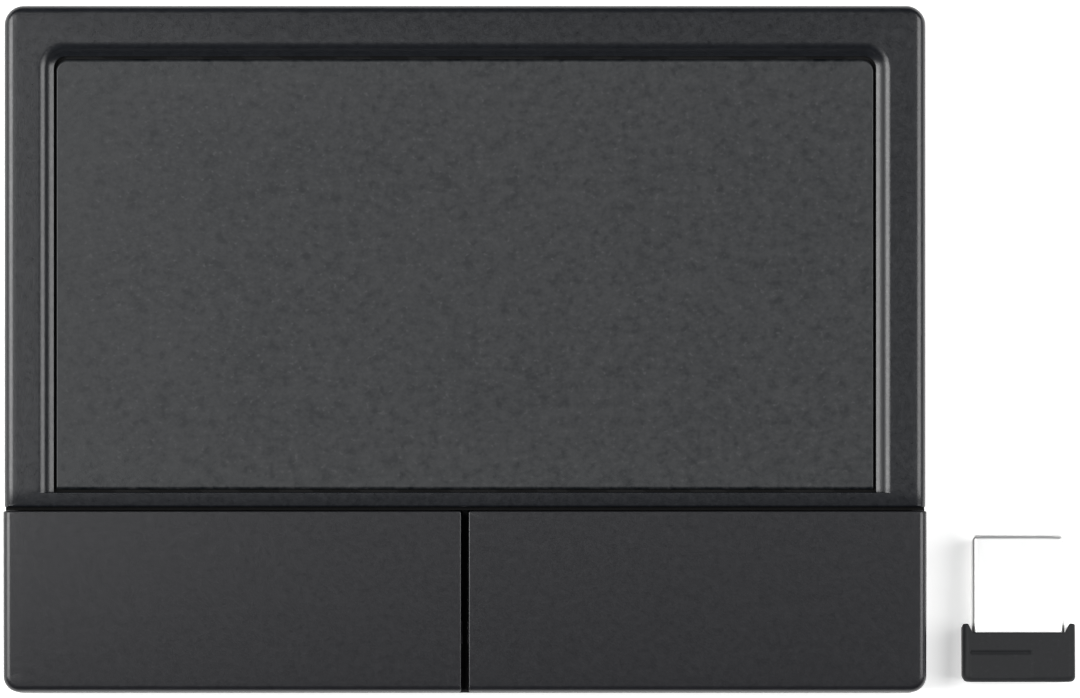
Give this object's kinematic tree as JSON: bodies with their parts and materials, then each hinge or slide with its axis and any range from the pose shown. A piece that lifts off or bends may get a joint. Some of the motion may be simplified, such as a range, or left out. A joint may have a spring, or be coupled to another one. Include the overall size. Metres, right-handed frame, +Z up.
{
  "type": "trackpad",
  "caption": "Low wedge-shaped wireless trackpad with a recessed touch surface, two wide click buttons at the front and a small plug-in radio receiver beside it.",
  "frame": {"origin": "centre of the set's outline, trackpad and receiver together, at the level of the desk", "axes": "+Z up from the desk, +Y towards the rear of the trackpad, away from the buttons, +X to the user's right, towards the receiver"},
  "size_m": [0.1398, 0.0904, 0.0185],
  "materials": {
    "frame_plastic": "satin moulded plastic with a fine grain",
    "button_plastic": "satin moulded plastic, smoother than the frame",
    "pad_sheet": "matt speckled film",
    "base_plastic": "matt moulded plastic with a spark-eroded grain",
    "adhesive_film": "double-sided film",
    "black_tape": "black foam tape",
    "board_laminate": "solder-masked laminate",
    "chip_package": "moulded package",
    "connector_plastic": "ivory plastic",
    "ribbon_film": "film with printed tracks",
    "crystal_steel": "pressed can",
    "small_parts": "ceramic bodies with tinned ends",
    "switch_plastic": "moulded plastic",
    "plunger_plastic": "moulded plastic",
    "slider_plastic": "satin moulded plastic",
    "cell_jacket": "plain printed film over a steel can",
    "contact_steel": "nickel-plated sheet and wire",
    "red_insulation": "soft insulation",
    "black_insulation": "soft insulation",
    "screw_steel": "zinc-plated steel",
    "foot_rubber": "matt rubber",
    "grip_plastic": "satin moulded plastic",
    "plug_steel": "bright plated sheet",
    "tongue_plastic": "white moulded plastic",
    "contact_gold": "gold flash"
  },
  "bodies": {
    "chassis": {"base_shell": "base_plastic", "top_frame": "frame_plastic", "touch_overlay": "pad_sheet", "overlay_adhesive": "adhesive_film", "bezel_tape": "black_tape", "sensor_board": "board_laminate", "touch_controller": "chip_package", "sensor_connector": "connector_plastic", "ribbon_cable": "ribbon_film", "board_connector": "connector_plastic", "main_board": "board_laminate", "radio_chip": "chip_package", "crystal_can": "crystal_steel", "board_parts": "small_parts", "left_switch_body": "switch_plastic", "right_switch_body": "switch_plastic", "power_switch_body": "crystal_steel", "left_cell": "cell_jacket", "right_cell": "cell_jacket", "battery_spring": "contact_steel", "negative_plate": "contact_steel", "positive_contact": "contact_steel", "red_lead": "red_insulation", "black_lead": "black_insulation", "housing_screws": "screw_steel", "board_screws": "screw_steel", "front_left_foot": "foot_rubber", "front_right_foot": "foot_rubber", "rear_left_foot": "foot_rubber", "rear_right_foot": "foot_rubber"},
    "left_button": {"left_button": "button_plastic"},
    "right_button": {"right_button": "button_plastic"},
    "left_plunger": {"left_switch_plunger": "plunger_plastic"},
    "right_plunger": {"right_switch_plunger": "plunger_plastic"},
    "power_switch": {"power_slider": "slider_plastic", "power_lever": "switch_plastic"},
    "battery_door": {"battery_door": "base_plastic"},
    "receiver": {"receiver_grip": "grip_plastic", "plug_sleeve": "plug_steel", "plug_tongue": "tongue_plastic", "plug_contacts": "contact_gold", "receiver_board": "board_laminate", "receiver_chip": "chip_package"}
  },
  "joints": [
    {"name": "left_button_press", "type": "hinge", "parent": "chassis", "child": "left_button", "pos_m": [0, -0.02313, 0.00792], "axis": [1, 0, 0], "range_deg": [0, 1.4], "stiffness_Nm_per_rad": 0.4, "springref_deg": -0.69},
    {"name": "right_button_press", "type": "hinge", "parent": "chassis", "child": "right_button", "pos_m": [0, -0.02313, 0.00792], "axis": [1, 0, 0], "range_deg": [0, 1.4], "stiffness_Nm_per_rad": 0.4, "springref_deg": -0.69},
    {"name": "left_plunger_press", "type": "slide", "parent": "chassis", "child": "left_plunger", "axis": [0, 0.0909, -0.9959], "range_m": [0, 0.0003]},
    {"name": "right_plunger_press", "type": "slide", "parent": "chassis", "child": "right_plunger", "axis": [0, 0.0909, -0.9959], "range_m": [0, 0.0003]},
    {"name": "power_slide", "type": "slide", "parent": "chassis", "child": "power_switch", "axis": [1, 0, 0], "range_m": [0, 0.002]},
    {"name": "door_slide", "type": "slide", "parent": "chassis", "child": "battery_door", "axis": [0, 1, 0], "range_m": [0, 0.018]},
    {"name": "receiver_place", "type": "slide", "parent": "chassis", "child": "receiver", "axis": [0, 1, 0], "range_m": [0, 0.05]}
  ],
  "couplings": [
    {"joint": "left_plunger_press", "follows": "left_button_press", "m_per_rad": 0.0122},
    {"joint": "right_plunger_press", "follows": "right_button_press", "m_per_rad": 0.0122}
  ]
}
